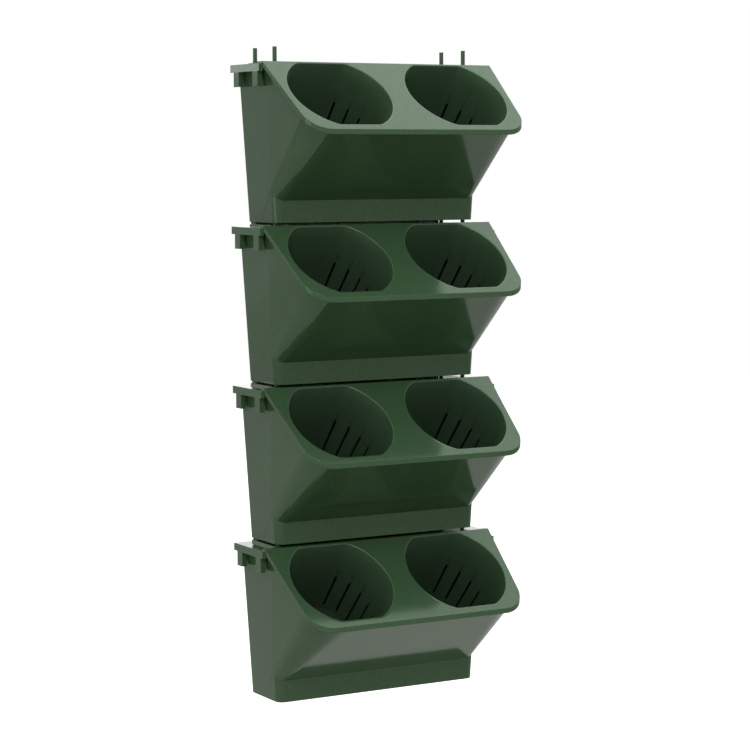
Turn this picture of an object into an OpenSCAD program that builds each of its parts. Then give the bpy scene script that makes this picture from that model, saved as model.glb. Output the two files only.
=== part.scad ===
// Stacked wall planter: four equal tiers, each a water trough with a sloped cover and two slotted cups.
// The origin is on the wall plane, at the middle of the lowest tier's bottom edge.
// +X runs to the right seen from the front, -Y comes away from the wall, +Z is up.

/* [Stack] */
// Gap between a tier's platform and the foot of the tier above, mm
tier_gap = 3.1; // [2.6:0.1:4]

/* [Trough] */
// Room between a cup's side and the trough's wall, level with the mouth
cup_side_gap = 2.35; // [2:0.05:3]
// How far the foot stands out from the wall
foot_depth = 79; // [72:0.5:86]
// Height of the upright front of the foot
foot_front_h = 28.2; // [24:0.2:32]
// Height by which the foot's front edge climbs round each corner
corner_climb = 17.2; // [15:0.2:20]
// Growth of the half width for each mm of height
side_draft = 0.07; // [0.06:0.001:0.08]
// Loss of the half width for each mm away from the wall
front_draft = 0.01; // [0.005:0.001:0.02]
// Wall thickness of the trough
trough_wall = 2.4; // [2:0.1:3]
// Plan radius of the foot's front corners
foot_corner_r = 10.5; // [8:0.5:12]
// Plan radius of the trough's rear corners
rear_corner_r = 8; // [7.5:0.1:8.5]
// Radius of the flared body's front corners under the cover
brow_corner_r = 45; // [38:1:46]

/* [Cover] */
// Height of the platform under the next tier's foot
platform_top = 201.9; // [190:0.1:215]
// Step from the platform down to the flat shelf round it
platform_step = 2.7; // [2.2:0.1:3.2]
// Distance from the platform's front edge back to the front of the foot above
platform_setback = 4; // [3.5:0.1:5]
// Distance from the front of the foot above to the upper edge of the sloped deck
foot_clear = 4.1; // [3.6:0.1:6]
// Angle of the sloped deck to the ground
deck_angle = 37.2; // [36:0.1:38]
// Solid strip of the deck behind each opening
back_land = 0.4; // [0.3:0.1:3]
// Deck in front of each mouth, down the slope
front_land = 11.1; // [8:0.1:16]
// Deck beside each mouth at the deck's upper edge
side_land = 16.2; // [15:0.1:18]
// Loss of the deck's half width from its upper to its lower edge
deck_narrowing = 8.8; // [7:0.1:10]
// Thickness of the ridge along the back of the platform
ridge_t = 2.4; // [2:0.1:3]
// Distance from the platform's side to the end of the ridge
ridge_end = 9; // [8.5:0.5:30]
// Thickness of the cover's top plate
cover_plate = 2.6; // [2.4:0.1:3]
// Height of the upright rim round the sloped deck
rim_h = 6.3; // [5.5:0.1:8]
// Thickness of the rim
rim_t = 1.6; // [1.2:0.1:1.7]
// Radius of the deck's two front corners
deck_corner_r = 34; // [30:1:38]

/* [Cups] */
// Half of the deck that is left between the two mouths
middle_land = 18.2; // [16:0.1:24]
// Half width of the cup inside its mouth
mouth_rx = 66.4; // [60:0.1:74]
// Half length of the mouth's oval before the flats cut it
mouth_ry = 70.8; // [66:0.1:76]
// Distance from the cup's centre to the flat at the back
mouth_back = 61.2; // [56:0.1:68]
// Distance from the cup's centre to the flat at the front
mouth_front = 65.4; // [60:0.1:70]
// Wall thickness of a cup
cup_wall = 1.8; // [1.4:0.1:2]
// Depth of a cup along its own axis
cup_depth = 120; // [118:0.5:122]
// Inward slope of the cup's wall for each mm of depth
cup_taper = 0.075; // [0.06:0.001:0.08]
// Lean of the cup's axis past square to the deck, degrees
cup_lean = 3.4; // [0:0.1:3.6]
// Width of the cup's hanging rim beyond its outer wall
cup_rim_w = 2.2; // [2:0.1:2.4]
// Width of the rim along the flats
flat_rim_w = 1; // [0.8:0.1:1.2]
// Thickness of the cup's hanging rim
cup_rim_t = 1.5; // [1.4:0.1:1.6]
// Width of the bevel round the inside of the cup's mouth
bevel_w = 2.8; // [2:0.1:3]
// Width of the bevel along the flats
flat_bevel_w = 1.2; // [1:0.1:1.4]
// Depth of that bevel
bevel_depth = 2; // [1:0.1:2.2]
// Slots on each flank of a cup
slot_count = 5; // [3:1:5]
// Width of one slot
slot_w = 3; // [2:0.1:4]
// Depth at which a slot starts
slot_start = 60; // [50:1:70]
// Distance from the lower end of a slot to the cup's bottom
slot_floor = 5.5; // [4:0.5:12]
// Angle from the side to the slot nearest the wall
slot_first = 56.6; // [54:0.1:60]
// Angle between neighbouring slots
slot_step = 18; // [15:0.5:19]

/* [Stacking pins] */
// Distance of the pins from the foot's side
pin_inset = 8.5; // [8:0.1:10]
// Distance of the rear pins from the wall
pin_rear = 8; // [8:0.1:9]
// Distance of the front pins from the foot's front
pin_front_inset = 16.3; // [14:0.1:20]
// Radius of a pin
pin_r = 2.75; // [2.4:0.05:2.9]
// How far a pin stands up from the platform
pin_proud = 19.3; // [15:0.1:22]
// How deep a pin sits in the cover, measured from the platform
pin_seat = 18; // [15:0.5:22]

/* [Link flange] */
// How far the flange stands out beyond the cover's left side
flange_out = 3.1; // [2.5:0.1:4]
// Height of the flange
flange_h = 9.6; // [8.5:0.1:11]
// Length of the flange in front of the front hook
flange_end = 4.9; // [3:0.1:6.5]
// Thickness of a hook across the planter
hook_t = 6.8; // [5:0.1:7]
// Width of a hook along the flange
hook_w = 14; // [10:0.5:15]
// How far a hook hangs below the flange
hook_drop = 18.5; // [14:0.1:20]
// Distance from the wall to the rear hook
hook_rear = 9.4; // [8:0.1:12]
// Distance from one hook to the next
hook_spacing = 53.1; // [48:0.1:54]
// Height of the rail that takes a neighbour's hooks
socket_h = 16; // [12:0.5:18]
// Thickness of the rail's outer wall
socket_wall = 2.6; // [2:0.1:3.2]

/* [Wall fixing] */
// Distance between the two screw holes of a tier
screw_spacing = 220; // [180:1:240]
// Height of the screw holes above the tier's foot
screw_z = 150; // [140:1:160]
// Radius of a screw hole
screw_r = 2.75; // [2:0.05:3.5]

/* [Overflow tube] */
// Radius of the tube
tube_r = 1.8; // [1.5:0.1:1.9]
// Radius of the tube's bore
tube_bore_r = 1.1; // [0.8:0.1:1.2]
// Distance of the tube from the foot's side
tube_inset = 4.9; // [4.7:0.1:5.1]
// Distance of the tube from the wall
tube_y = 4; // [3.8:0.1:4.1]

/* [Hidden] */
// Clearances between pieces: where the cover sits on the trough, round a pin in the foot above and in
// its own boss, round a cup, round a hook, round the tube, between a cup and the trough's front, behind
// the lip and over the ridge
seat_gap = 0.2;
pin_gap = 0.25;
pin_hold_gap = 0.1;
cup_gap = 0.3;
socket_gap = 0.35;
tube_gap = 0.1;
brow_gap = 3;
lip_gap = 0.3;
ridge_gap = 0.3;

// Height from one tier's foot to the next
tier_pitch = platform_top + tier_gap;

// Heights and depths of the foot, the shelf and the platform
foot_corner_h = foot_front_h + corner_climb;
shelf_top = platform_top - platform_step;
deck_back = foot_depth + foot_clear;
flange_depth = hook_rear + hook_spacing + hook_w + flange_end;
lip_overhang = rim_t + lip_gap;

// Places and lengths down the sloped deck, measured from its upper edge
cup_s = back_land + cup_gap + flat_rim_w + cup_wall + mouth_back;
cup_z = platform_top - cup_s * sin(deck_angle);
cup_y = deck_back + cup_s * cos(deck_angle);
deck_length = cup_s + mouth_front + front_land;

// Places and widths across the planter: the cups set them
cup_x = middle_land + mouth_rx;
mouth_edge_x = cup_x + mouth_rx;
wall_at_cup = mouth_edge_x + cup_wall + cup_side_gap + trough_wall;
foot_half_w = wall_at_cup - side_draft * cup_z + front_draft * cup_y;
deck_half_back = mouth_edge_x + side_land;
deck_half_front = deck_half_back - deck_narrowing;
pin_x = foot_half_w - pin_inset;
tube_x = foot_half_w - tube_inset;

// Sizes of the sloped deck seen from the side
lip_depth = deck_back + deck_length * cos(deck_angle);
lip_z = platform_top - deck_length * sin(deck_angle);
plate_drop = cover_plate / cos(deck_angle);
seat_drop = (cover_plate + seat_gap) / cos(deck_angle);

// The trough's front rises from the foot to just behind the lip
brow_top_depth = lip_depth - lip_overhang;
brow_top_z = lip_z - rim_h + lip_overhang * tan(deck_angle);
brow_slope = atan2(brow_top_z - foot_front_h, brow_top_depth - foot_depth);
// The foot's front edge climbs round each corner on a slanting quarter oval
climb_angle = atan2(corner_climb, foot_corner_r);
climb_length = corner_climb / sin(climb_angle);
// Width of the slanting quarter oval, a little more than the foot's corner radius
climb_x = foot_corner_r + 2.5;
// How far the flared front's lower edge runs on behind the foot's front face
brow_overlap = 3;
// How far the flared body's upper slabs overlap across the line where the deck starts to slope
edge_lap = 4;
// Depth of the trough's back part at the ground, which stays behind the flared front's slope
back_part_clear = 2;
back_part_depth = foot_depth - foot_front_h / tan(brow_slope) - back_part_clear;
// Step by which the foot's sides lie inside the flared body's, so that the two never share a plane
corner_step = 0.05;

shelf_under = shelf_top - cover_plate;
trough_top = shelf_under - seat_gap;
platform_front = foot_depth - platform_setback;
pin_front = foot_depth - pin_front_inset;
pin_boss_r = 6;
pin_boss_under = 3;
socket_boss_r = 7.5;
socket_depth = platform_top + pin_proud - tier_pitch + seat_gap;
socket_cap = 3;
// Foot of the tube in its tier's cover, and its reach into the foot of the tier above
tube_foot = trough_top + 0.5;
tube_above = 8;
slot_end = cup_depth - slot_floor;
// Half of a slot cutter's length across the cup's wall
slot_reach = 12;
// Length by which a cup's tapered body is drawn on above the deck before the deck's plane cuts it
cup_above = 12;
// Thickness of the slices that the trough's body is stretched between
slab = 0.4;
arc_steps = 10;
oval_steps = 72;
hole_steps = 48;
// Overlap of a joined block or overrun of a cut, a size beyond the whole planter, and a hair's breadth
lap = 1;
far = 400;
tiny = 0.01;

// Half width of the trough's outside at a height above its foot and a depth from the wall
function half_w(z, depth) = foot_half_w + side_draft * z - front_draft * depth;

// Points of an arc that may be longer one way than the other
function arc(cx, cy, rx, ry, from, to) =
    [for (i = [0 : arc_steps])
        let (a = from + (to - from) * i / arc_steps)
        [cx + rx * cos(a), cy + ry * sin(a)]];

// Plan that narrows from the wall to a front at -depth: round rear corners and sharp front corners
function back_plan(half_back, half_front, back, depth, rear_r) = concat(
    arc(half_back - rear_r, -back - rear_r, rear_r, rear_r, 90, 0),
    [[half_front, -depth], [-half_front, -depth]],
    arc(-half_back + rear_r, -back - rear_r, rear_r, rear_r, 180, 90)
);

// Plan of the foot's front part, from a depth behind to its front with round corners
function foot_plan(half_behind, half_front, behind, depth, r) = concat(
    [[-half_behind, -behind], [half_behind, -behind]],
    arc(half_front - r, -depth + r, r, r, 0, -90),
    arc(-half_front + r, -depth + r, r, r, -90, -180)
);

// Plan of a sloped part that ends at -depth, with corners that are round in the slope's own plane
function deck_plan(half_back, half_front, back, depth, corner_r) =
    let (ry = corner_r * cos(deck_angle),
         cx = half_front - corner_r,
         cy = -depth + ry)
    concat(
        [[-half_back, -back]],
        arc(-cx, cy, corner_r, ry, 180, 270),
        arc(cx, cy, corner_r, ry, 270, 360),
        [[half_back, -back]]
    );

// Plan of the whole cover from behind the wall's plane to the sloped deck's front
function cover_plan(behind, half_back, half_front, depth, corner_r) = concat(
    [[half_back, behind], [-half_back, behind]],
    deck_plan(half_back, half_front, deck_back, depth, corner_r)
);

// Oval with two flats, grown outwards by one margin round it and another at the flats
function oval(margin, flat_margin) =
    [for (i = [0 : oval_steps - 1]) let (a = 360 * i / oval_steps)
        [(mouth_rx + margin) * cos(a),
         max(-mouth_front - flat_margin, min(mouth_back + flat_margin, (mouth_ry + margin) * sin(a)))]];

// Line along the foot's front edge that climbs at both ends, drawn in its own slanting plane
function climb_plan(half) = concat(
    [for (i = [0 : arc_steps]) let (a = 90 * i / arc_steps)
        [half - climb_x + climb_x * sin(a), climb_length * (1 - cos(a))]],
    [for (i = [arc_steps : -1 : 0]) let (a = 90 * i / arc_steps)
        [-half + climb_x - climb_x * sin(a), climb_length * (1 - cos(a))]]
);

// Places its children in one tier of the stack, counted from 0 at the bottom
module at_tier(k) {
    translate([0, 0, k * tier_pitch])
        children();
}

// Places its children on the sloped deck: y points up the slope and z stands square to it
module on_deck() {
    translate([0, -deck_back, platform_top])
        rotate([deck_angle, 0, 0])
            children();
}

// Places its children on one cup: z runs up along the cup's own axis
module on_cup(side) {
    on_deck()
        translate([side * cup_x, -cup_s, 0])
            rotate([cup_lean, 0, 0])
                children();
}

// Places its children at each of the four pins
module at_pins() {
    for (side = [-1, 1])
        for (y = [pin_rear, pin_front])
            translate([side * pin_x, -y, 0])
                children();
}

// Slab that follows the deck's slope between two depths under it, measured straight down
module under_deck(from, to) {
    translate([0, 0, -to])
        on_deck()
            translate([-far / 2, -far, 0])
                cube([far, 2 * far, (to - from) * cos(deck_angle)]);
}

// Upright front of the foot, inset for its inside
module foot_front(inset, bottom) {
    behind = back_part_depth / 2;
    depth = foot_depth - inset;
    side_inset = inset + corner_step;
    hull()
        for (z = [bottom, foot_corner_h])
            translate([0, 0, z])
                linear_extrude(slab)
                    polygon(foot_plan(half_w(z, behind) - side_inset, half_w(z, foot_depth) - side_inset,
                        behind, depth, foot_corner_r - inset));
}

// Back part and flared body of the trough, inset for its inside
module flared_solid(inset, bottom, shelf_z, rise) {
    front_inset = inset / sin(brow_slope);
    brow_depth = brow_top_depth - front_inset;
    hull() {
        translate([0, 0, bottom])
            linear_extrude(slab)
                polygon(back_plan(half_w(bottom, 0) - inset, half_w(bottom, back_part_depth) - inset,
                    inset, back_part_depth - inset, rear_corner_r - inset));
        translate([0, brow_overlap + front_inset - foot_depth,
                foot_front_h - brow_overlap * tan(brow_slope)])
            rotate([climb_angle, 0, 0])
                linear_extrude(slab)
                    polygon(climb_plan(half_w(foot_corner_h, foot_depth - foot_corner_r) - inset));
        intersection() {
            linear_extrude(far)
                polygon(deck_plan(half_w(trough_top, deck_back) - inset,
                    half_w(brow_top_z, brow_depth) - inset,
                    deck_back + edge_lap, brow_depth, brow_corner_r - inset));
            under_deck(seat_drop - rise, rim_h);
        }
        translate([0, 0, shelf_z - slab])
            linear_extrude(slab)
                polygon(back_plan(half_w(shelf_z, 0) - inset, half_w(shelf_z, deck_back) - inset,
                    inset, deck_back - edge_lap, rear_corner_r - inset));
    }
}

// Draws a side profile across the whole width: its first number runs away from the wall
module side_profile(points) {
    rotate([90, 0, 90])
        translate([0, 0, -far / 2])
            linear_extrude(far)
                polygon([for (p = points) [-p[0], p[1]]]);
}

// Points of the slope under the cover's plate, from a level behind its upper edge to the ground
function below_slope(level, drop) =
    let (run = 1.5 * deck_length, edge_z = platform_top - drop)
    [[-edge_lap, -edge_lap], [-edge_lap, level], [deck_back, level], [deck_back, edge_z],
     [deck_back + run, edge_z - run * tan(deck_angle)], [deck_back + run, -edge_lap]];

// Water trough: upright foot, flared body, sockets for the pins below and two holes for wall screws
module trough() {
    color("#3C513E")
    difference() {
        union() {
            difference() {
                trough_block();
                foot_front(trough_wall, trough_wall);
                flared_solid(trough_wall, trough_wall, trough_top + 2 * lap, cover_plate);
            }
            pin_socket_bosses();
        }
        at_pins()
            translate([0, 0, -tiny])
                cylinder(r = pin_r + pin_gap, h = socket_depth + tiny, $fn = hole_steps);
        tube_hole(-tiny, tube_above + tiny);
        screw_holes();
    }
}

// The trough before it is hollowed
module trough_block() {
    intersection() {
        union() {
            foot_front(0, 0);
            flared_solid(0, 0, trough_top + lap, lap);
        }
        side_profile(below_slope(trough_top, seat_drop));
    }
}

// Solid posts inside the foot that the pins of the tier below reach into
module pin_socket_bosses() {
    half = foot_half_w - trough_wall / 2;
    intersection() {
        linear_extrude(far)
            polygon(back_plan(half, half, trough_wall / 2, foot_depth, rear_corner_r - trough_wall / 2));
        at_pins()
            cylinder(r = socket_boss_r, h = socket_depth + socket_cap, $fn = hole_steps);
    }
}

// Hole for the overflow tube at the rear left corner
module tube_hole(from, to) {
    translate([-tube_x, -tube_y, from])
        cylinder(r = tube_r + tube_gap, h = to - from, $fn = hole_steps);
}

// Two round holes through the back wall
module screw_holes() {
    for (side = [-1, 1])
        translate([side * screw_spacing / 2, lap, screw_z])
            rotate([90, 0, 0])
                cylinder(r = screw_r, h = trough_wall + 2 * lap, $fn = hole_steps);
}

// Shelf, platform and sloped deck before anything is cut out of them
module cover_block() {
    flange_under = shelf_top - flange_h;
    intersection() {
        side_profile([[0, flange_under], [0, shelf_top],
            [platform_front, shelf_top], [platform_front, platform_top], [deck_back, platform_top],
            [lip_depth + edge_lap, lip_z - edge_lap * tan(deck_angle)],
            [lip_depth + edge_lap, lip_z - edge_lap * tan(deck_angle) - rim_h],
            [deck_back, platform_top - rim_h], [deck_back, flange_under]]);
        linear_extrude(far)
            polygon(cover_plan(0, deck_half_back, deck_half_front, lip_depth, deck_corner_r));
    }
    translate([0, 0, shelf_top - lap])
        linear_extrude(platform_step + lap)
            polygon(back_plan(foot_half_w, foot_half_w, 0, platform_front + lap, rear_corner_r));
    translate([-deck_half_back - flange_out, -flange_depth, flange_under])
        cube([flange_out + rim_t, flange_depth, flange_h]);
}

// Room under the cover for the trough's upper edge
module cover_pocket() {
    intersection() {
        side_profile(below_slope(shelf_under, plate_drop));
        linear_extrude(far)
            polygon(cover_plan(lap, deck_half_back - rim_t, deck_half_front - rim_t, lip_depth - rim_t,
                deck_corner_r - rim_t));
    }
}

// Sloped cover with two openings, a link flange with hooks on the left and sockets on the right
module cover() {
    color("#40573F")
    difference() {
        union() {
            difference() {
                cover_block();
                cover_pocket();
            }
            pin_bosses();
            rear_ridge();
            link_hooks();
            link_sockets();
        }
        cup_openings();
        at_pins()
            translate([0, 0, platform_top - pin_seat])
                cylinder(r = pin_r + pin_hold_gap, h = pin_seat + lap, $fn = hole_steps);
        tube_hole(tube_foot - seat_gap, platform_top + lap);
    }
}

// Bosses that hold the pins under the plate, cut clear of the trough's back wall
module pin_bosses() {
    intersection() {
        translate([0, 0, platform_top - pin_seat - pin_boss_under])
            at_pins()
                cylinder(r = pin_boss_r, h = pin_seat - platform_step + pin_boss_under - tiny,
                    $fn = hole_steps);
        translate([-far, -far, 0])
            cube([2 * far, far - trough_wall - seat_gap, far]);
    }
}

// Low ridge along the back of the platform that closes the gap under the foot above
module rear_ridge() {
    ridge_half = foot_half_w - ridge_end;
    translate([-ridge_half, -ridge_t, platform_top - lap])
        cube([2 * ridge_half, ridge_t, lap + tier_gap - ridge_gap]);
}

// Two openings, each with a step that the cup's rim hangs on
module cup_openings() {
    for (side = [-1, 1])
        on_deck()
            translate([side * cup_x, -cup_s, 0]) {
                translate([0, 0, -cup_rim_t])
                    linear_extrude(cup_rim_t + lap)
                        polygon(oval(cup_wall + cup_rim_w + cup_gap, cup_wall + flat_rim_w + cup_gap));
                translate([0, 0, -rim_h])
                    linear_extrude(rim_h + lap)
                        polygon(oval(cup_wall + cup_gap, cup_wall + cup_gap));
            }
}

// Two hooks under the left flange that drop into a neighbour's sockets
module link_hooks() {
    for (y = [hook_rear, hook_rear + hook_spacing])
        translate([-deck_half_back - flange_out, -y - hook_w, shelf_top - flange_h - hook_drop])
            cube([hook_t, hook_w, hook_drop + lap]);
}

// Rail on the right side with a slot for each hook of a neighbour
module link_sockets() {
    rail_in = deck_half_back - rim_t;
    rail_out = deck_half_back + hook_t + 2 * socket_gap + socket_wall;
    rail_top = shelf_top - flange_h;
    difference() {
        translate([rail_in, -flange_depth, rail_top - socket_h])
            cube([rail_out - rail_in, flange_depth, socket_h + lap]);
        for (y = [hook_rear, hook_rear + hook_spacing])
            translate([deck_half_back, -y - hook_w - socket_gap, rail_top - socket_h - lap])
                cube([hook_t + 2 * socket_gap, hook_w + 2 * socket_gap, socket_h + 3 * lap]);
    }
}

// Tapered oval of a cup along its axis, from above the deck down to a depth
module cup_taper_solid(margin, depth) {
    top_scale = 1 + cup_taper * cup_above / mouth_rx;
    bottom_scale = (1 - cup_taper * depth / mouth_rx) / top_scale;
    translate([0, 0, cup_above])
        mirror([0, 0, 1])
            linear_extrude(depth + cup_above, scale = bottom_scale)
                scale(top_scale)
                    polygon(oval(margin, margin));
}

// Space that stays clear of the trough's sloping front
module above_brow(clearance) {
    translate([0, -foot_depth, foot_front_h])
        rotate([-brow_slope, 0, 0])
            translate([-far, -far, clearance])
                cube([2 * far, 2 * far, far]);
}

// One slotted cup that hangs in the cover by its rim
module cup(side) {
    brow_clear = trough_wall + brow_gap;
    color("#2F4431")
    difference() {
        union() {
            intersection() {
                on_cup(side)
                    cup_taper_solid(cup_wall, cup_depth);
                under_deck(0, far);
                above_brow(brow_clear);
            }
            on_deck()
                translate([side * cup_x, -cup_s, -cup_rim_t])
                    linear_extrude(cup_rim_t)
                        polygon(oval(cup_wall + cup_rim_w, cup_wall + flat_rim_w));
        }
        intersection() {
            on_cup(side)
                cup_taper_solid(0, cup_depth - cup_wall);
            above_brow(brow_clear + cup_wall);
        }
        mouth_bevel(side);
        cup_slots(side);
    }
}

// Bevel that widens the mouth up to the deck's surface
module mouth_bevel(side) {
    side_scale = mouth_rx / (mouth_rx + 2 * bevel_w);
    flat_scale = mouth_back / (mouth_back + 2 * flat_bevel_w);
    on_deck()
        translate([side * cup_x, -cup_s, bevel_depth])
            mirror([0, 0, 1])
                linear_extrude(2 * bevel_depth, scale = [side_scale, flat_scale])
                    polygon(oval(2 * bevel_w, 2 * flat_bevel_w));
}

// Slots down both flanks of a cup
module cup_slots(side) {
    for (flank = [0, 1])
        mirror_in_cup(flank, side)
            for (i = [0 : slot_count - 1])
                rotate([0, 0, slot_first - slot_step * i])
                    translate([mouth_rx - slot_reach - cup_taper * slot_end, -slot_w / 2, -slot_end])
                        cube([2 * slot_reach, slot_w, slot_end - slot_start]);
}

// Places its children on a cup, or their mirror image on the cup's other flank
module mirror_in_cup(flank, side) {
    on_cup(side)
        mirror([flank, 0, 0])
            children();
}

// Four pins that locate the next tier
module stacking_pins() {
    color("#46564A")
    at_pins()
        translate([0, 0, platform_top - pin_seat + seat_gap])
            cylinder(r = pin_r, h = pin_seat - seat_gap + pin_proud, $fn = hole_steps);
}

// Short tube that drains one trough into the tier below it
module overflow_tube() {
    tube_top = tier_pitch + tube_above;
    color("#6EA032")
    translate([-tube_x, -tube_y, tube_foot])
        difference() {
            cylinder(r = tube_r, h = tube_top - tube_foot, $fn = hole_steps);
            translate([0, 0, -lap])
                cylinder(r = tube_bore_r, h = tube_top - tube_foot + 2 * lap, $fn = hole_steps);
        }
}

module trough_1() { at_tier(0) trough(); }
module trough_2() { at_tier(1) trough(); }
module trough_3() { at_tier(2) trough(); }
module trough_4() { at_tier(3) trough(); }
module cover_1() { at_tier(0) cover(); }
module cover_2() { at_tier(1) cover(); }
module cover_3() { at_tier(2) cover(); }
module cover_4() { at_tier(3) cover(); }
module left_cup_1() { at_tier(0) cup(-1); }
module left_cup_2() { at_tier(1) cup(-1); }
module left_cup_3() { at_tier(2) cup(-1); }
module left_cup_4() { at_tier(3) cup(-1); }
module right_cup_1() { at_tier(0) cup(1); }
module right_cup_2() { at_tier(1) cup(1); }
module right_cup_3() { at_tier(2) cup(1); }
module right_cup_4() { at_tier(3) cup(1); }
module stacking_pins_1() { at_tier(0) stacking_pins(); }
module stacking_pins_2() { at_tier(1) stacking_pins(); }
module stacking_pins_3() { at_tier(2) stacking_pins(); }
module stacking_pins_4() { at_tier(3) stacking_pins(); }
module overflow_tube_1() { at_tier(0) overflow_tube(); }
module overflow_tube_2() { at_tier(1) overflow_tube(); }
module overflow_tube_3() { at_tier(2) overflow_tube(); }

trough_1();
trough_2();
trough_3();
trough_4();
cover_1();
cover_2();
cover_3();
cover_4();
left_cup_1();
left_cup_2();
left_cup_3();
left_cup_4();
right_cup_1();
right_cup_2();
right_cup_3();
right_cup_4();
stacking_pins_1();
stacking_pins_2();
stacking_pins_3();
stacking_pins_4();
overflow_tube_1();
overflow_tube_2();
overflow_tube_3();
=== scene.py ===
# %% [markdown]
# # A stacked wall planter
# Four equal troughs of dark green plastic stand on each other's pins, flat against a wall.
# Each trough has a sloped cover with two openings, and a slotted cup hangs in each opening.
# The shapes come from the CAD model. This script gives them their edges, their finish, the small
# moulded details, the light and the camera of the product photograph.

# %% Load the CAD model
import math

import bmesh
import bpy
from mathutils import Matrix, Vector


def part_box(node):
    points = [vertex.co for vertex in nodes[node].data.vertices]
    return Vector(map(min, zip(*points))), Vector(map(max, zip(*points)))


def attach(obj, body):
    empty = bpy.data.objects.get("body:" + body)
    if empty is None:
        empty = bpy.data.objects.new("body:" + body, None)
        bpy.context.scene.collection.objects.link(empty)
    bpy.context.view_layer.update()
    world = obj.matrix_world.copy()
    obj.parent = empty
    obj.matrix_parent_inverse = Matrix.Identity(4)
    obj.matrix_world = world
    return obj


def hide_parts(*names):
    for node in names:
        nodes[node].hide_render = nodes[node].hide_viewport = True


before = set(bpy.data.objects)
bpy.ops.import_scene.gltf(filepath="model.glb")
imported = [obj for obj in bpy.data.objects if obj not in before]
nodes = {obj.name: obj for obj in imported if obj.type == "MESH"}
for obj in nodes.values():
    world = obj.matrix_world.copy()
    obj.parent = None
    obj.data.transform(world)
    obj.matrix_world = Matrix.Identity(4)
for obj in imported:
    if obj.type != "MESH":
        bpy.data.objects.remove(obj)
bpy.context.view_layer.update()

scene = bpy.context.scene
scene.view_settings.view_transform = "Standard"

# %% [markdown]
# ## Camera
# The photograph is taken from the left and a little above the middle, with a long lens.
# The camera's place and angles were found by matching the corners of all four tiers to the picture,
# so straight edges fall where they do in the photograph. A long lens far away keeps the tiers alike.

# %% Camera
MM = 0.001
PHOTO_PIXELS = 750
FOCAL_PIXELS = 2324.09
YAW, PITCH, ROLL = 29.56, -5.40, -0.12
CAMERA_PLACE = (-1.48357, -2.68768, 0.69967)

camera_data = bpy.data.cameras.new("camera")
camera_data.sensor_width = 36.0
camera_data.lens = FOCAL_PIXELS * camera_data.sensor_width / PHOTO_PIXELS
camera = bpy.data.objects.new("camera", camera_data)
scene.collection.objects.link(camera)
scene.camera = camera

yaw, pitch, roll = (math.radians(angle) for angle in (YAW, PITCH, ROLL))
ahead = Vector((math.sin(yaw) * math.cos(pitch), math.cos(yaw) * math.cos(pitch), math.sin(pitch)))
level_right = Vector((math.cos(yaw), -math.sin(yaw), 0.0))
level_up = level_right.cross(ahead)
right = math.cos(roll) * level_right + math.sin(roll) * level_up
up = math.cos(roll) * level_up - math.sin(roll) * level_right
turn = Matrix((right, up, -ahead)).transposed().to_4x4()
camera.matrix_world = Matrix.Translation(CAMERA_PLACE) @ turn
print("lens in mm:", round(camera_data.lens, 2))

# %% [markdown]
# ## Colour and node helpers
# Colours are written as sRGB hex, as a colour picker shows them, and turned into the linear values
# that the shader works in. One small function adds any node with its settings and its links.

# %% Helpers for colours and nodes
def linear(hex_colour):
    """An sRGB hex colour as linear red, green, blue and alpha."""
    values = [int(hex_colour[i:i + 2], 16) / 255 for i in (1, 3, 5)]
    return [v / 12.92 if v <= 0.04045 else ((v + 0.055) / 1.055) ** 2.4 for v in values] + [1.0]


def add_node(tree, kind, settings=None, inputs=None):
    """A node of this kind with its settings. An input is a value, or the socket that it is linked to."""
    node = tree.nodes.new(kind)
    for name, value in (settings or {}).items():
        setattr(node, name, value)
    for name, value in (inputs or {}).items():
        if isinstance(value, bpy.types.NodeSocket):
            tree.links.new(value, node.inputs[name])
        else:
            node.inputs[name].default_value = value
    return node


def new_material(name):
    """An empty material with its node tree and output node."""
    material = bpy.data.materials.new(name)
    material.use_nodes = True
    material.node_tree.nodes.clear()
    output = add_node(material.node_tree, "ShaderNodeOutputMaterial")
    return material, material.node_tree, output


print("mid grey #808080 in linear light:", [round(v, 3) for v in linear("#808080")])

# %% [markdown]
# ## Green plastic
# Troughs, covers, cups and pins are injection-moulded polypropylene, coloured right through.
# The mould's steel was lightly grained. That grain is finer than a pixel of the render, so it is drawn
# 1.6 mm wide, as coarse as it needs to be to show. The colour also shifts a little over about six
# centimetres, where the melt flowed. The skin between the grains is smooth: it mirrors bright things
# around it with crisp edges.
# That is why a face that looks down at a white floor is grey, and one that looks at the dark deck
# below it is nearly black. Polypropylene bends light a little less than glass does, with an IOR of 1.49.
# Its reflections are tinted a little green, as the photograph's are.
# The side faces of a cover draw in a little downwards, by the mould's draft, so they mirror a lower
# part of the room than the trough's faces do. The plain CAD faces stand upright, so the lean is given
# to their normal only.
# In the photograph the decks mirror what stands a little further forward, so that the lowest one shows
# the bright room in a strip along its front. Their normal leans forwards by three degrees for this.

# %% Green moulded polypropylene
GRAIN_SIZE = 1.6 * MM
GRAIN_LOW, GRAIN_HIGH = 0.3, 0.7
SPECKLE = 0.14
GLOSSIER, DULLER = 0.8, 1.25
FLOW_MARK_SIZE = 60 * MM
REFLECTION_TINT = linear("#E7FFE7")
DRAFT = 0.05
TIER_PITCH, FLANGE_UNDER, SHELF_DEPTH = 205.0, 189.5, 80.0
DECK_ANGLE = math.radians(37.2)
DECK_LEAN = 0.052
DECK_MATCH = 0.97


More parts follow.
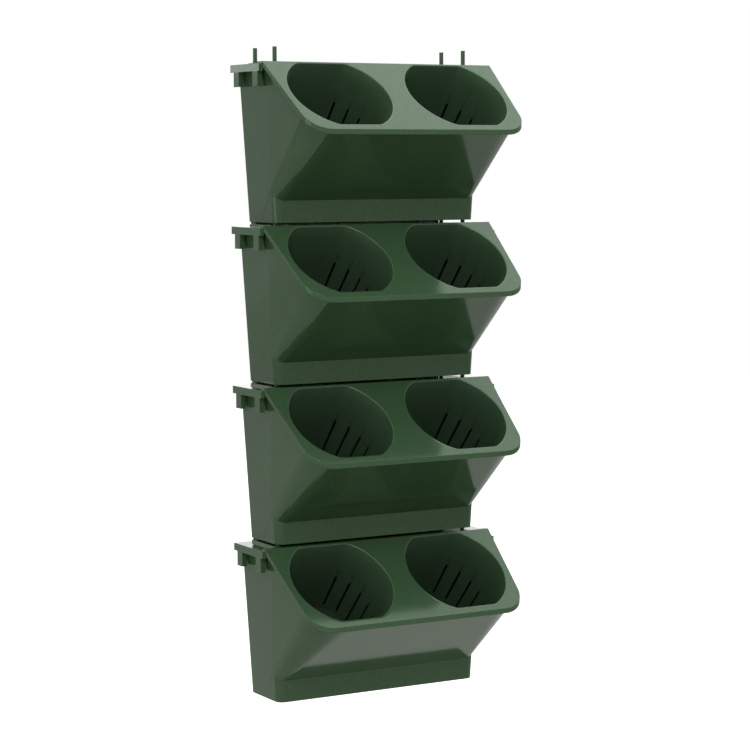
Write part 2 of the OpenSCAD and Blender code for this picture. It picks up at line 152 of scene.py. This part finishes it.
def drafted_normal(tree, place, normal):
    """The normal of a side face that leans by the mould's draft, except on the upright flange."""
    spot = add_node(tree, "ShaderNodeSeparateXYZ", {}, {"Vector": place})
    over_foot = add_node(tree, "ShaderNodeMath", {"operation": "MODULO"}, {
        0: spot.outputs["Z"], 1: TIER_PITCH * MM})
    above = add_node(tree, "ShaderNodeMath", {"operation": "GREATER_THAN"}, {
        0: over_foot.outputs["Value"], 1: FLANGE_UNDER * MM})
    behind = add_node(tree, "ShaderNodeMath", {"operation": "GREATER_THAN"}, {
        0: spot.outputs["Y"], 1: -SHELF_DEPTH * MM})
    on_flange = add_node(tree, "ShaderNodeMath", {"operation": "MULTIPLY"}, {
        0: above.outputs["Value"], 1: behind.outputs["Value"]})
    lean = add_node(tree, "ShaderNodeMapRange", {}, {
        "Value": on_flange.outputs["Value"], "To Min": -DRAFT, "To Max": 0.0})
    facing = add_node(tree, "ShaderNodeSeparateXYZ", {}, {"Vector": normal})
    sideways = add_node(tree, "ShaderNodeMath", {"operation": "ABSOLUTE"}, {0: facing.outputs["X"]})
    downwards = add_node(tree, "ShaderNodeMath", {"operation": "MULTIPLY"}, {
        0: sideways.outputs["Value"], 1: lean.outputs["Result"]})
    tilt = add_node(tree, "ShaderNodeCombineXYZ", {}, {"Z": downwards.outputs["Value"]})
    leaning = add_node(tree, "ShaderNodeVectorMath", {"operation": "ADD"}, {
        0: normal, 1: tilt.outputs["Vector"]})
    return add_node(tree, "ShaderNodeVectorMath", {"operation": "NORMALIZE"}, {
        0: leaning.outputs["Vector"]}).outputs["Vector"]


def leaning_normal(tree, normal):
    """The normal of a deck, which mirrors the room as if it were a little steeper than it is."""
    outwards = (0.0, -math.sin(DECK_ANGLE), math.cos(DECK_ANGLE))
    downwards = (0.0, -math.cos(DECK_ANGLE), -math.sin(DECK_ANGLE))
    along = add_node(tree, "ShaderNodeVectorMath", {"operation": "DOT_PRODUCT"}, {0: normal, 1: outwards})
    on_deck = add_node(tree, "ShaderNodeMath", {"operation": "GREATER_THAN"}, {
        0: along.outputs["Value"], 1: DECK_MATCH})
    lean = add_node(tree, "ShaderNodeMath", {"operation": "MULTIPLY"}, {
        0: on_deck.outputs["Value"], 1: DECK_LEAN})
    tilt = add_node(tree, "ShaderNodeVectorMath", {"operation": "SCALE"}, {
        0: downwards, "Scale": lean.outputs["Value"]})
    leaning = add_node(tree, "ShaderNodeVectorMath", {"operation": "ADD"}, {
        0: normal, 1: tilt.outputs["Vector"]})
    return add_node(tree, "ShaderNodeVectorMath", {"operation": "NORMALIZE"}, {
        0: leaning.outputs["Vector"]}).outputs["Vector"]


def moulded_polypropylene(name, dark, light, roughness, grain_depth, grain_shine, edge_radius, drafted=False):
    """Moulded plastic: a slow shift of colour, a grain in its colour, gloss and relief, and soft edges."""
    material, tree, output = new_material(name)
    place = add_node(tree, "ShaderNodeTexCoord").outputs["Object"]
    flow = add_node(tree, "ShaderNodeTexNoise", {}, {
        "Vector": place, "Scale": 1 / FLOW_MARK_SIZE, "Detail": 3.0, "Roughness": 0.55})
    grain = add_node(tree, "ShaderNodeTexNoise", {}, {
        "Vector": place, "Scale": 1 / GRAIN_SIZE, "Detail": 2.0, "Roughness": 0.6})
    colour = add_node(tree, "ShaderNodeMix", {"data_type": "RGBA"}, {
        "Factor": flow.outputs["Fac"], "A": dark, "B": light})

    def by_grain(low, high):
        """A value that runs from low to high with the grain."""
        return add_node(tree, "ShaderNodeMapRange", {}, {
            "Value": grain.outputs["Fac"], "From Min": GRAIN_LOW, "From Max": GRAIN_HIGH,
            "To Min": low, "To Max": high}).outputs["Result"]

    speckled = add_node(tree, "ShaderNodeVectorMath", {"operation": "SCALE"}, {
        0: colour.outputs["Result"], "Scale": by_grain(1 - SPECKLE, 1 + SPECKLE)})
    if edge_radius:
        normal = add_node(tree, "ShaderNodeBevel", {"samples": 6}, {"Radius": edge_radius}).outputs["Normal"]
    else:
        normal = add_node(tree, "ShaderNodeNewGeometry").outputs["Normal"]
    if drafted:
        normal = drafted_normal(tree, place, normal)
    normal = leaning_normal(tree, normal)
    bump = add_node(tree, "ShaderNodeBump", {}, {
        "Height": grain.outputs["Fac"], "Strength": 1.0, "Distance": grain_depth, "Normal": normal})
    plastic = add_node(tree, "ShaderNodeBsdfPrincipled", {}, {
        "Base Color": speckled.outputs["Vector"],
        "Roughness": by_grain(roughness * GLOSSIER, roughness * DULLER),
        "IOR": 1.49, "Specular IOR Level": by_grain(0.5 - grain_shine, 0.5 + grain_shine),
        "Specular Tint": REFLECTION_TINT, "Normal": bump.outputs["Normal"]})
    tree.links.new(plastic.outputs["BSDF"], output.inputs["Surface"])
    return material


# The troughs are the smoothest, so their lower fronts mirror the floor and the deck below them.
# The covers have the strongest grain, and a soft edge of almost a millimetre that catches light.
# Rim and mouth edge of a cup meet the deck, so the rim has the deck's plastic. The thin rounded
# edge has a lighter colour, a painted highlight: it is the fine line round each mouth.
# The cups are dull inside, which keeps them dark. Their floor has a darker colour, a painted shade,
# so that the floor, which faces the light, is no brighter than the wall.
# The pins are duller than the covers, from a mould without polish.
trough_green = moulded_polypropylene(
    "trough polypropylene", linear("#32492F"), linear("#384F36"), 0.10, 0.006 * MM, 0.05, 0.6 * MM)
cover_green = moulded_polypropylene(
    "cover polypropylene", linear("#365036"), linear("#3B563B"), 0.12, 0.012 * MM, 0.16, 0.9 * MM,
    drafted=True)
rim_green = moulded_polypropylene(
    "cup rim polypropylene", linear("#365036"), linear("#3B563B"), 0.12, 0.012 * MM, 0.14, 0)
# The mouth's rounded edge: its lighter colour is a painted highlight.
painted_highlight_edge_green = moulded_polypropylene(
    "cup edge polypropylene with painted highlight", linear("#445D44"), linear("#4C654C"), 0.12, 0.004 * MM, 0.02, 0)
cup_green = moulded_polypropylene(
    "cup polypropylene", linear("#374E37"), linear("#3D543D"), 0.38, 0.010 * MM, 0.02, 0)
# The cup's floor: its darker colour is a painted shade.
painted_shade_floor_green = moulded_polypropylene(
    "cup floor polypropylene with painted shade", linear("#1E2C1E"), linear("#243424"), 0.45, 0.010 * MM, 0.02, 0)
pin_green = moulded_polypropylene(
    "pin polypropylene", linear("#3A503A"), linear("#405640"), 0.30, 0.008 * MM, 0.02, 0.6 * MM)
print("green plastics:", [m.name for m in bpy.data.materials if "polypropylene" in m.name])

# %% [markdown]
# ## Lime plastic
# The overflow tube between two tiers is a short piece of soft lime-green polyethylene, extruded
# and cut off. Its skin is smooth with faint lines along the tube, drawn wider than the real ones so
# that a near view shows them, and a little light goes into it.

# %% Lime extruded polyethylene
LINE_SIZE = 0.8 * MM
LINE_SCALE = (1.0, 1.0, 0.05)

lime_tube, tree, output = new_material("tube polyethylene")
place = add_node(tree, "ShaderNodeTexCoord").outputs["Object"]
stretched = add_node(tree, "ShaderNodeVectorMath", {"operation": "MULTIPLY"}, {0: place, 1: LINE_SCALE})
lines = add_node(tree, "ShaderNodeTexNoise", {}, {
    "Vector": stretched.outputs["Vector"], "Scale": 1 / LINE_SIZE, "Detail": 2.0})
colour = add_node(tree, "ShaderNodeMix", {"data_type": "RGBA"}, {
    "Factor": lines.outputs["Fac"], "A": linear("#6FA62E"), "B": linear("#8CC444")})
bump = add_node(tree, "ShaderNodeBump", {}, {
    "Height": lines.outputs["Fac"], "Strength": 1.0, "Distance": 0.02 * MM})
plastic = add_node(tree, "ShaderNodeBsdfPrincipled", {}, {
    "Base Color": colour.outputs["Result"], "Roughness": 0.3, "IOR": 1.51, "Normal": bump.outputs["Normal"],
    "Subsurface Weight": 0.3, "Subsurface Scale": 1.0 * MM})
tree.links.new(plastic.outputs["BSDF"], output.inputs["Surface"])
print("lime tube material:", lime_tube.name)

# %% [markdown]
# ## Finish on the CAD parts
# The CAD parts keep their shape and get their plastic. Their curved faces are made of flat strips,
# so a modifier shades faces that meet at a small angle as one smooth face and keeps real edges sharp.

# %% Smooth shading by angle
SMOOTH_UNDER = math.radians(28)

smoother = bpy.data.node_groups.new("smooth under an angle", "GeometryNodeTree")
smoother.interface.new_socket("Geometry", in_out="INPUT", socket_type="NodeSocketGeometry")
smoother.interface.new_socket("Geometry", in_out="OUTPUT", socket_type="NodeSocketGeometry")
group_in = add_node(smoother, "NodeGroupInput")
edge_angle = add_node(smoother, "GeometryNodeInputMeshEdgeAngle")
is_soft = add_node(smoother, "FunctionNodeCompare", {"data_type": "FLOAT", "operation": "LESS_THAN"}, {
    "A": edge_angle.outputs["Unsigned Angle"], "B": SMOOTH_UNDER})
soft_edges = add_node(smoother, "GeometryNodeSetShadeSmooth", {"domain": "EDGE"}, {
    "Geometry": group_in.outputs["Geometry"], "Shade Smooth": is_soft.outputs["Result"]})
soft_faces = add_node(smoother, "GeometryNodeSetShadeSmooth", {"domain": "FACE"}, {
    "Geometry": soft_edges.outputs["Geometry"], "Shade Smooth": True})
add_node(smoother, "NodeGroupOutput", {}, {"Geometry": soft_faces.outputs["Geometry"]})


def finish_of(name):
    """The plastic of a CAD part, from its name."""
    if name.startswith("overflow_tube"):
        return lime_tube
    if name.startswith("stacking_pins"):
        return pin_green
    if name.startswith("cover"):
        return cover_green
    return cup_green if "cup" in name else trough_green


for name, part in nodes.items():
    part.data.materials.clear()
    part.data.materials.append(finish_of(name))
    part.modifiers.new("smooth", "NODES").node_group = smoother
print("parts with a finish:", len(nodes))

# %% [markdown]
# ## Cups
# Each cup is a thin-walled oval pot with a flat back and a flat front. It leans a little more than
# the deck does, gets narrower downwards, and a slanted face at its lower front keeps it clear of the
# trough. Its mouth rolls over into the deck in a small quarter round, with a thin lip on the deck, and
# ten slots let water in, five down each flank, each with a shallow flute above it.
# A loft suits this: one ring of points for every step along the wall's section, from the inner floor
# up, over the rim, and down the outside. The sizes repeat those of the CAD cup, in millimetres.
# First come the ring's shape and its columns.

# %% The oval of one ring
MOUTH_RX, MOUTH_RY = 66.4, 70.8
FLAT_BACK, FLAT_FRONT = 61.2, 65.4
CUP_TAPER = 0.075
SLOT_WIDTH = 3.0
SLOT_ANGLES = [56.6 - 18.0 * i for i in range(5)]
SEARCH_REACH = 0.3
CREASE_ANGLE = math.radians(-44.2)
CORNER_AT_MOUTH, CORNER_DEEP, CORNER_BY = 0.5, 4.0, 50.0
COLUMN_STEP = 4.0
COLUMN_DEPTH = 60.0
HALVINGS = 30
FAR_FROM_CORNER = 30


def soft_clamp(value, low, high, softness):
    """The value, held between two limits with rounded corners."""
    def soft_min(a, b):
        if a < b - FAR_FROM_CORNER * softness:
            return a
        return b - softness * math.log(math.exp((b - a) / softness) + 1.0)
    return -soft_min(-soft_min(value, high), -low)


def ring_point(angle, depth, margin, flat_margin):
    """A point of the oval at a depth, grown outwards by a margin, in the cup's own frame."""
    scale = 1 - CUP_TAPER * depth / MOUTH_RX
    softness = CORNER_AT_MOUTH + (CORNER_DEEP - CORNER_AT_MOUTH) * min(max(depth / CORNER_BY, 0), 1)
    x = scale * (MOUTH_RX + margin) * math.cos(angle)
    y = scale * soft_clamp((MOUTH_RY + margin) * math.sin(angle),
                           -FLAT_FRONT - flat_margin, FLAT_BACK + flat_margin, softness)
    return x, y


def slot_edge(slot_angle, offset, depth):
    """The ring angle where a line beside the slot's own radius meets the wall."""
    aim = math.radians(slot_angle)
    low, high = aim - SEARCH_REACH, aim + SEARCH_REACH
    for _ in range(HALVINGS):
        middle = (low + high) / 2
        x, y = ring_point(middle, depth, 0, 0)
        low, high = (middle, high) if y * math.cos(aim) - x * math.sin(aim) < offset else (low, middle)
    return low


def ring_columns(depth):
    """Ring angles at a depth: one at the floor's crease, three for each slot, and even steps between."""
    keys = [CREASE_ANGLE]
    for slot_angle in sorted(SLOT_ANGLES):
        keys += [slot_edge(slot_angle, side * SLOT_WIDTH / 2, depth) for side in (-1, 0, 1)]
    half_turn = [-math.pi / 2] + keys + [math.pi / 2]
    angles = []
    for first, last in zip(half_turn, half_turn[1:]):
        steps = max(1, round(math.degrees(last - first) / COLUMN_STEP))
        angles += [first + (last - first) * i / steps for i in range(steps)]
    return angles + [math.pi - a for a in [math.pi / 2] + angles[:0:-1]]


columns = ring_columns(COLUMN_DEPTH)
slot_columns = []
for index, (first, last) in enumerate(zip(columns, columns[1:])):
    x, y = ring_point((first + last) / 2, COLUMN_DEPTH, 0, 0)
    for slot_angle in SLOT_ANGLES:
        aim = math.radians(slot_angle)
        if abs(y * math.cos(aim) - abs(x) * math.sin(aim)) < SLOT_WIDTH / 2:
            slot_columns.append(index)
print("columns round a cup:", len(columns), "of which over slots:", len(slot_columns))

# %% [markdown]
# Every column of the loft runs down the wall along the taper until it meets the floor or the slanted
# face. Rows follow the wall's section. The deck leans 3.4 degrees less than the cup's rings do, so each
# column starts where it passes through the deck's own plane.

# %% The rows of the loft
CUP_LEAN = math.radians(3.4)
CUP_WALL = 1.8
CUP_DEPTH = 120.0
MOUTH_FLARE, FLAT_FLARE = 1.4, 0.5
MOUTH_ROUND, FLAT_ROUND, ROUND_DEPTH = 1.4, 0.7, 1.4
ROUND_STEPS = 6
RIM_MARGIN, FLAT_RIM_MARGIN, RIM_THICK = 4.25, 3.05, 1.5
LIP_OVER_DECK, FLAT_LIP_OVER_DECK, LIP_HEIGHT = 1.2, 0.4, 0.04
SLOT_TOP, SLOT_END, FLUTE_TOP, FLUTE_DEPTH = 60.0, 114.5, 46.0, 1.3
WALL_ROWS = [10.0, 22.0, 34.0, FLUTE_TOP, 49.0, 52.0, SLOT_TOP, 78.0, 96.0, SLOT_END]
DECK_UP = Vector((0, math.cos(DECK_ANGLE), math.sin(DECK_ANGLE)))
DECK_OUT = Vector((0, -math.sin(DECK_ANGLE), math.cos(DECK_ANGLE)))
DECK_BACK = Vector((0, -83.1, 201.9))
CUP_DOWN_DECK = 64.7
CUP_CENTRE = DECK_BACK - CUP_DOWN_DECK * DECK_UP
SLANT_ANGLE = math.radians(36.05)
SLANT_OUT = Vector((0, -math.sin(SLANT_ANGLE), -math.cos(SLANT_ANGLE)))
SLANT_FOOT = Vector((0, -79, 28.2))
SLANT_TO_INSIDE, SLANT_TO_OUTSIDE = 7.2, 5.4
STEPS_TO_PLANE = 6


def wall_point(angle, depth, margin, flat_margin):
    """A point of the wall, in the frame of the deck at the cup's centre."""
    x, y = ring_point(angle, depth, margin, flat_margin)
    return Vector((x, y * math.cos(CUP_LEAN) + depth * math.sin(CUP_LEAN),
                   y * math.sin(CUP_LEAN) - depth * math.cos(CUP_LEAN)))


def depth_at(angle, margin, flat_margin, height):
    """The depth along a column at which it is at a height over the deck's plane."""
    depth = 0.0
    for _ in range(STEPS_TO_PLANE):
        depth += wall_point(angle, depth, margin, flat_margin).z - height
    return depth


def floor_depth(angle, margin, flat_margin, clearance, lowest):
    """The depth at which a column meets the slanted face, or the flat floor if that comes first."""
    def above_slant(depth):
        local = wall_point(angle, depth, margin, flat_margin)
        place = CUP_CENTRE + Vector((local.x, 0, 0)) + local.y * DECK_UP + local.z * DECK_OUT
        return (SLANT_FOOT - place).dot(SLANT_OUT) - clearance
    if above_slant(lowest) > 0:
        return lowest
    low, high = WALL_ROWS[0], lowest
    for _ in range(HALVINGS):
        middle = (low + high) / 2
        low, high = (middle, high) if above_slant(middle) > 0 else (low, middle)
    return low


print("cup centre from the tier's origin, mm:", [round(v, 2) for v in CUP_CENTRE])

# %% [markdown]
# One mesh serves all eight cups. Faces over the slots are left out of both skins, and the two skins
# are joined round each slot by its four narrow sides.

# %% The cup mesh
WALL, RIM, EDGE, FLOOR = range(4)
SAME_SINE = 1e-6


def skin_rows(margin, clearance, lowest, flute_depth):
    """Rows of points down one skin of the wall, from the mouth's rounding to the floor."""
    rows = []
    for row_depth in WALL_ROWS + [lowest]:
        angles = ring_columns(min(row_depth, SLOT_END))
        row = []
        for index, angle in enumerate(angles):
            top = depth_at(angle, margin, margin, -ROUND_DEPTH)
            end = floor_depth(angle, margin, margin, clearance, lowest)
            depth = row_depth if end == lowest else top + (row_depth - top) * (end - top) / (lowest - top)
            over_slot = index in slot_columns and (index - 1) % len(angles) in slot_columns
            in_flute = over_slot and FLUTE_TOP < row_depth <= SLOT_TOP
            outwards = margin + flute_depth if in_flute else margin
            row.append(wall_point(angle, depth, outwards, outwards))
        rows.append(row)
    return rows


def cup_rows():
    """Rows of points from the inner floor up, over the rim, and down the outside to the floor."""
    inner = skin_rows(0.0, SLANT_TO_INSIDE, CUP_DEPTH - CUP_WALL, FLUTE_DEPTH)
    outer = skin_rows(CUP_WALL, SLANT_TO_OUTSIDE, CUP_DEPTH, 0.0)
    profile = []
    for step in range(ROUND_STEPS + 1):
        turn = math.pi / 2 * step / ROUND_STEPS
        profile.append((MOUTH_FLARE + MOUTH_ROUND * (1 - math.cos(turn)),
                        FLAT_FLARE + FLAT_ROUND * (1 - math.cos(turn)),
                        LIP_HEIGHT - ROUND_DEPTH * (1 - math.sin(turn))))
    profile += [(RIM_MARGIN + LIP_OVER_DECK, FLAT_RIM_MARGIN + FLAT_LIP_OVER_DECK, LIP_HEIGHT),
                (RIM_MARGIN + LIP_OVER_DECK, FLAT_RIM_MARGIN + FLAT_LIP_OVER_DECK, LIP_HEIGHT / 2),
                (RIM_MARGIN, FLAT_RIM_MARGIN, LIP_HEIGHT / 2),
                (RIM_MARGIN, FLAT_RIM_MARGIN, -RIM_THICK),
                (CUP_WALL, CUP_WALL, -RIM_THICK)]
    mouth = []
    for margin, flat_margin, height in profile:
        mouth.append([wall_point(angle, depth_at(angle, margin, flat_margin, height), margin, flat_margin)
                      for angle in ring_columns(0)])
    return inner[::-1] + mouth + outer, len(inner)


rows, inner_count = cup_rows()
count = len(columns)
cup_mesh = bpy.data.meshes.new("slotted cup")
shape = bmesh.new()
grid = [[shape.verts.new(point * MM) for point in row] for row in rows]
end_row = len(WALL_ROWS) - WALL_ROWS.index(SLOT_END)
top_row = len(WALL_ROWS) - WALL_ROWS.index(SLOT_TOP)
out_end_row = len(rows) - 1 - end_row
out_top_row = len(rows) - 1 - top_row
slot_rows = [range(end_row, top_row), range(out_top_row, out_end_row)]
for row in range(len(rows) - 1):
    for column in range(count):
        if column in slot_columns and any(row in skin for skin in slot_rows):
            continue
        beside = (column + 1) % count
        face = shape.faces.new((
            grid[row][column], grid[row][beside], grid[row + 1][beside], grid[row + 1][column]))
        # The faces of the mouth's rounding take the edge plastic, whose lighter colour is a painted
        # highlight.
        on_edge = inner_count < row < inner_count + ROUND_STEPS
        on_rim = inner_count <= row < len(rows) - inner_count
        face.material_index = EDGE if on_edge else RIM if on_rim else WALL

for column in slot_columns:
    beside = (column + 1) % count
    for inner_row, outer_row in ((end_row, out_end_row), (top_row, out_top_row)):
        shape.faces.new((grid[inner_row][column], grid[inner_row][beside],
                         grid[outer_row][beside], grid[outer_row][column]))
    for edge, neighbour in ((column, column - 1), (beside, beside)):
        if neighbour % count not in slot_columns:
            for step in range(top_row - end_row):
                shape.faces.new((grid[end_row + step][edge], grid[end_row + step + 1][edge],
                                 grid[out_end_row - step - 1][edge], grid[out_end_row - step][edge]))

crease = [index for index, angle in enumerate(columns)
          if abs(math.sin(angle) - math.sin(CREASE_ANGLE)) < SAME_SINE]
# The floor faces take the floor plastic, whose darker colour is a painted shade.
for floor_row in (grid[0], grid[-1]):
    for corners in (floor_row[crease[0]:crease[1] + 1], floor_row[crease[1]:] + floor_row[:crease[0] + 1]):
        shape.faces.new(corners).material_index = FLOOR
bmesh.ops.recalc_face_normals(shape, faces=shape.faces)
shape.to_mesh(cup_mesh)
open_edges = sum(1 for edge in shape.edges if not edge.is_manifold)
print("cup faces:", len(shape.faces), "open edges:", open_edges, "crease columns:", crease)
shape.free()
for plastic in (cup_green, rim_green, painted_highlight_edge_green, painted_shade_floor_green):
    cup_mesh.materials.append(plastic)

# %% [markdown]
# Every cup is an object of its own on the same mesh, so each one can be lifted out by itself.

# %% Eight cups in their places
CUP_X = 84.6
TIERS = 4

for tier in range(TIERS):
    for side, offset in (("left", -CUP_X), ("right", CUP_X)):
        name = f"{side}_cup_{tier + 1}"
        cup = bpy.data.objects.new("slotted_" + name, cup_mesh)
        cup.matrix_world = Matrix.Translation(
            (CUP_CENTRE + Vector((offset, 0, TIER_PITCH * tier))) * MM) @ Matrix.Rotation(DECK_ANGLE, 4, "X")
        scene.collection.objects.link(cup)
        cup.modifiers.new("smooth", "NODES").node_group = smoother
        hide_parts(name)
        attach(cup, name)

# %% [markdown]
# ## Crown of the rear ridge
# The low ridge along the back of each platform ends 0.3 mm under the foot above, so that a tier can
# be set down freely. The moulding has a soft crown on the ridge that takes up most of this play, and
# no daylight shows over it. The section's pairs say how far across the ridge a point is, and how many
# millimetres over it.

# %% Ridge crowns
CROWN_SINK = 0.03
CROWN_SECTION = [(0.05, -CROWN_SINK), (0.2, 0.18), (0.5, 0.27), (0.8, 0.18), (0.95, -CROWN_SINK)]
CROWN_END, CROWN_TAPER = 0.6 * MM, 0.4
NEAR_TOP = 0.01 * MM

crown_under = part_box("cover_1")[1][2]
ridge = [v.co for v in nodes["cover_1"].data.vertices if v.co.z > crown_under - NEAR_TOP]
ridge_left, ridge_right = min(p.x for p in ridge), max(p.x for p in ridge)
ridge_front, ridge_back = min(p.y for p in ridge), max(p.y for p in ridge)

crown_form = bmesh.new()
stations = [(ridge_left, CROWN_TAPER), (ridge_left + CROWN_END, 1.0),
            (ridge_right - CROWN_END, 1.0), (ridge_right, CROWN_TAPER)]
sections = []
for x, fullness in stations:
    section = []
    for across, rise in CROWN_SECTION:
        y = ridge_front + across * (ridge_back - ridge_front)
        z = crown_under + (fullness * (rise + CROWN_SINK) - CROWN_SINK) * MM
        section.append(crown_form.verts.new((x, y, z)))
    sections.append(section)
for near, far in zip(sections, sections[1:]):
    for i in range(len(CROWN_SECTION) - 1):
        crown_form.faces.new((near[i], far[i], far[i + 1], near[i + 1]))
    crown_form.faces.new((near[-1], far[-1], far[0], near[0]))
crown_form.faces.new(sections[0])
crown_form.faces.new(sections[-1])
bmesh.ops.recalc_face_normals(crown_form, faces=crown_form.faces)
print("open edges of a crown:", sum(1 for edge in crown_form.edges if not edge.is_manifold))
crown_mesh = bpy.data.meshes.new("ridge_crown")
crown_form.to_mesh(crown_mesh)
crown_form.free()
crown_mesh.materials.append(rim_green)

for tier in range(TIERS):
    crown = bpy.data.objects.new(f"ridge_crown_{tier + 1}", crown_mesh)
    crown.location.z = TIER_PITCH * tier * MM
    scene.collection.objects.link(crown)
    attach(crown, f"tier_{tier + 1}")
print("ridge from", round(ridge_left / MM, 1), "to", round(ridge_right / MM, 1), "mm,",
      "top at", round(crown_under / MM, 2))

# %% [markdown]
# ## Floor, light and background
# The photograph is a studio picture on pure white. A large soft light hangs over the planter: the top
# deck mirrors it and turns pale, while the lower decks see the dark tier above them instead.
# A front light gives the faces their colour. The left light does so for the side faces and draws the
# fine line down the foot's rounded corner. The back light and the far right light are seen mostly as
# reflections: on the top flange, and on the right part of each deck and of each lower front.
# The pure white background is only what the camera sees. A dimmer white room lights the object and
# shows in its reflections. The planter hangs on a wall, so the pale floor lies well below it. The floor
# glows for the camera only, which makes it as white as the background.

# %% Floor and lights
FLOOR_DROP = 0.35
FLOOR_HALF = 6.0
FLOOR_GLOW = 0.9
ROOM_LIGHT, MIRRORED_ROOM, SEEN_WHITE = 0.6, 0.5, 1.0

floor_mesh = bpy.data.meshes.new("floor")
floor_corners = []
for x, y in ((-1, -1), (1, -1), (1, 1), (-1, 1)):
    floor_corners.append((x * FLOOR_HALF, y * FLOOR_HALF, -FLOOR_DROP))
floor_mesh.from_pydata(floor_corners, [], [(0, 1, 2, 3)])
floor = bpy.data.objects.new("floor", floor_mesh)
scene.collection.objects.link(floor)

floor_paint, tree, output = new_material("pale floor")
paint = add_node(tree, "ShaderNodeBsdfDiffuse", {}, {"Color": linear("#CACAC8")})
path = add_node(tree, "ShaderNodeLightPath")
glow = add_node(tree, "ShaderNodeEmission", {}, {"Color": linear("#FFFFFF"), "Strength": FLOOR_GLOW})
nothing = add_node(tree, "ShaderNodeEmission", {}, {"Color": linear("#000000"), "Strength": 0.0})
backdrop = add_node(tree, "ShaderNodeMixShader", {}, {
    "Fac": path.outputs["Is Camera Ray"], 1: nothing.outputs["Emission"], 2: glow.outputs["Emission"]})
glowing = add_node(tree, "ShaderNodeAddShader", {}, {0: paint.outputs["BSDF"], 1: backdrop.outputs["Shader"]})
tree.links.new(glowing.outputs["Shader"], output.inputs["Surface"])
floor_mesh.materials.append(floor_paint)


def soft_light(name, width, depth, place, aim, power):
    """A rectangular studio light at a place, turned to a point."""
    data = bpy.data.lights.new(name, "AREA")
    data.shape = "RECTANGLE"
    data.size, data.size_y, data.energy = width, depth, power
    light = bpy.data.objects.new(name, data)
    light.location = place
    light.rotation_euler = (Vector(aim) - Vector(place)).to_track_quat("-Z", "Y").to_euler()
    scene.collection.objects.link(light)


soft_light("overhead light", 2.6, 2.6, (0.7, 0.2, 2.6), (0.1, 0.0, 0.4), 34)
soft_light("front light", 1.8, 1.8, (-1.2, -3.0, 2.8), (0.0, -0.1, 0.4), 45)
soft_light("back light", 2.2, 1.4, (-2.6, 4.0, 1.5), (-0.2, 0.0, 0.8), 16)
soft_light("far right light", 3.0, 2.4, (2.5, 4.5, 1.2), (0.0, 0.0, 0.5), 26)
soft_light("left light", 2.0, 2.4, (-3.4, -0.4, 1.2), (0.0, -0.1, 0.45), 17)

world = bpy.data.worlds.new("studio")
scene.world = world
world.use_nodes = True
tree = world.node_tree
tree.nodes.clear()
path = add_node(tree, "ShaderNodeLightPath")
seen = add_node(tree, "ShaderNodeMath", {"operation": "MAXIMUM"}, {
    0: path.outputs["Is Camera Ray"], 1: path.outputs["Is Transmission Ray"]})
room = add_node(tree, "ShaderNodeBackground", {}, {"Color": linear("#FFFFFF"), "Strength": ROOM_LIGHT})
mirrored = add_node(tree, "ShaderNodeBackground", {}, {
    "Color": linear("#FFFFFF"), "Strength": MIRRORED_ROOM})
white = add_node(tree, "ShaderNodeBackground", {}, {"Color": linear("#FFFFFF"), "Strength": SEEN_WHITE})
unseen = add_node(tree, "ShaderNodeMixShader", {}, {
    "Fac": path.outputs["Is Glossy Ray"], 1: room.outputs["Background"], 2: mirrored.outputs["Background"]})
shown = add_node(tree, "ShaderNodeMixShader", {}, {
    "Fac": seen.outputs["Value"], 1: unseen.outputs["Shader"], 2: white.outputs["Background"]})
add_node(tree, "ShaderNodeOutputWorld", {}, {"Surface": shown.outputs["Shader"]})
